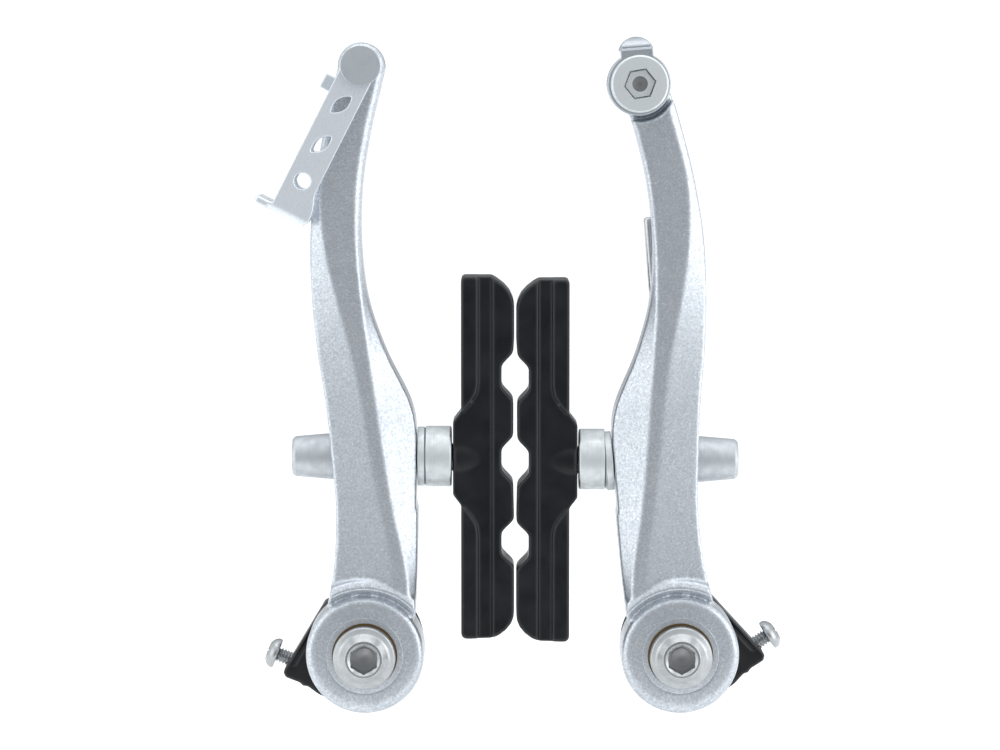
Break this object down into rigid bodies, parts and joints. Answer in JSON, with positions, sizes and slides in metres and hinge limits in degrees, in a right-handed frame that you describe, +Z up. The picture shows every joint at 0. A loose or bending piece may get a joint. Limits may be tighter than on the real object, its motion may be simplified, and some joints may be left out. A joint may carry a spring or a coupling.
{
  "type": "rim brake caliper",
  "caption": "Linear-pull rim brake: a pair of cast arms on boss sleeves, with slotted cartridge shoes, return springs, a cable link and a cable pinch bolt.",
  "frame": {"origin": "midway between the two pivot axes, on the plane where the frame's bosses meet the two boss sleeves", "axes": "+X to the right arm, +Y to the rear, into the bicycle frame, +Z up along the arms towards the cable"},
  "size_m": [0.1013, 0.0284, 0.1289],
  "materials": {
    "arm_paint": "metallic silver paint on cast aluminium, fine sparkle, satin",
    "plated_steel": "bright zinc-plated steel",
    "zinc_plate": "satin zinc-plated steel",
    "spring_steel": "drawn stainless spring wire",
    "brass": "turned brass",
    "black_plastic": "moulded glass-filled nylon, slight sheen",
    "pad_rubber": "moulded brake rubber, fine texture"
  },
  "bodies": {
    "left_mount": {"left_boss_sleeve": "plated_steel", "left_fixing_washer": "plated_steel", "left_fixing_bolt": "plated_steel", "left_spring_holder": "black_plastic", "left_spring_pin": "plated_steel"},
    "left_arm": {"left_arm": "arm_paint", "left_pivot_bush": "brass", "left_spring_post": "plated_steel", "left_return_spring": "spring_steel"},
    "left_slot_washers": {"left_inner_dome_washer": "zinc_plate", "left_outer_dome_washer": "zinc_plate"},
    "left_shoe": {"left_inner_cup_washer": "zinc_plate", "left_outer_cup_washer": "zinc_plate", "left_brake_pad": "pad_rubber", "left_pad_stud": "zinc_plate", "left_shoe_nut": "zinc_plate"},
    "left_adjuster": {"left_adjusting_screw": "plated_steel"},
    "right_mount": {"right_boss_sleeve": "plated_steel", "right_fixing_washer": "plated_steel", "right_fixing_bolt": "plated_steel", "right_spring_holder": "black_plastic", "right_spring_pin": "plated_steel"},
    "right_arm": {"right_arm": "arm_paint", "right_pivot_bush": "brass", "right_spring_post": "plated_steel", "right_return_spring": "spring_steel"},
    "right_slot_washers": {"right_inner_dome_washer": "zinc_plate", "right_outer_dome_washer": "zinc_plate"},
    "right_shoe": {"right_inner_cup_washer": "zinc_plate", "right_outer_cup_washer": "zinc_plate", "right_brake_pad": "pad_rubber", "right_pad_stud": "zinc_plate", "right_shoe_nut": "zinc_plate"},
    "right_adjuster": {"right_adjusting_screw": "plated_steel"},
    "cable_link": {"noodle_link": "zinc_plate", "link_rivet": "zinc_plate"},
    "cable_clamp": {"anchor_bolt": "zinc_plate", "anchor_washer": "zinc_plate"}
  },
  "joints": [
    {"name": "boss_spacing", "type": "slide", "parent": "left_mount", "child": "right_mount", "axis": [1, 0, 0], "range_m": [0, 0.025]},
    {"name": "left_arm_pivot", "type": "hinge", "parent": "left_mount", "child": "left_arm", "pos_m": [-0.0301, -0.0135, 0], "axis": [0, -1, 0], "range_deg": [0, 25], "deforming": ["left_return_spring"]},
    {"name": "left_shoe_height", "type": "slide", "parent": "left_arm", "child": "left_slot_washers", "axis": [0, 0, 1], "range_m": [-0.003, 0.003]},
    {"name": "left_shoe_swivel", "type": "hinge", "parent": "left_slot_washers", "child": "left_shoe", "pos_m": [-0.0238, -0.0106, 0.0373], "axis": [1, 0, 0], "continuous": true},
    {"name": "left_spring_adjustment", "type": "slide", "parent": "left_mount", "child": "left_adjuster", "axis": [-0.9272, 0, 0.3746], "range_m": [-0.0012, 0.002]},
    {"name": "right_arm_pivot", "type": "hinge", "parent": "right_mount", "child": "right_arm", "pos_m": [0.0301, -0.0135, 0], "axis": [0, 1, 0], "range_deg": [0, 25], "deforming": ["right_return_spring"]},
    {"name": "right_shoe_height", "type": "slide", "parent": "right_arm", "child": "right_slot_washers", "axis": [-0.075, 0, 0.9972], "range_m": [-0.003, 0.003]},
    {"name": "right_shoe_swivel", "type": "hinge", "parent": "right_slot_washers", "child": "right_shoe", "pos_m": [0.02102, -0.0106, 0.03672], "axis": [-1, 0, 0], "continuous": true},
    {"name": "right_spring_adjustment", "type": "slide", "parent": "right_mount", "child": "right_adjuster", "axis": [0.8339, 0, 0.5519], "range_m": [-0.0012, 0.002]},
    {"name": "link_swing", "type": "hinge", "parent": "left_arm", "child": "cable_link", "pos_m": [-0.0305, -0.01505, 0.112], "axis": [0, 1, 0], "range_deg": [0, 290]},
    {"name": "clamp_travel", "type": "slide", "parent": "right_arm", "child": "cable_clamp", "axis": [0, -1, 0], "range_m": [0, 0.0025]}
  ]
}
